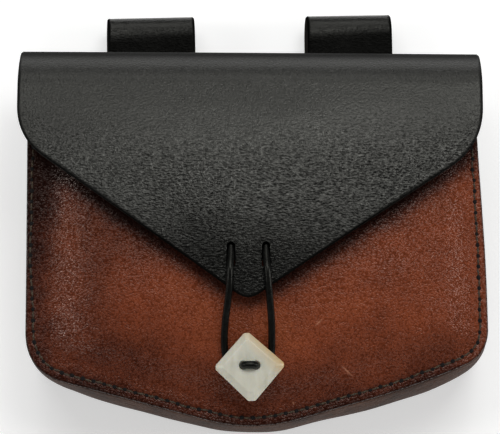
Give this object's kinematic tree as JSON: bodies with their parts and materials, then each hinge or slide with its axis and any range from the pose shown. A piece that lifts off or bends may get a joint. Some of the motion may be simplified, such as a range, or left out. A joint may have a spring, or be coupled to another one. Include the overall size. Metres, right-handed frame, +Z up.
{
  "type": "leather belt pouch",
  "caption": "Leather belt pouch with a moulded front, a pointed flap that a cord loop closes over a square button, and belt loops behind.",
  "frame": {"origin": "middle of the bottom of the pouch's box, lying on its back with its front up", "axes": "+X across the pouch to the right as seen from the front, +Y up the pouch towards the belt loops, +Z up out of the surface that it lies on"},
  "size_m": [0.1736, 0.166, 0.0653],
  "materials": {
    "brown_leather": "antiqued red-brown leather with a satin finish",
    "dark_brown_leather": "dark brown leather, satin",
    "black_leather": "black leather with a fine pebbled grain, satin",
    "black_cord": "round black leather cord, satin",
    "bone": "hand-cut bone, lightly polished"
  },
  "bodies": {
    "root": {"front_panel": "brown_leather", "gusset": "dark_brown_leather", "back_and_flap": "black_leather", "belt_loop_left": "black_leather", "belt_loop_right": "black_leather", "closing_cord": "black_cord", "closing_knot_left": "black_cord", "closing_knot_right": "black_cord", "button": "bone", "button_cord": "black_cord"}
  },
  "joints": []
}
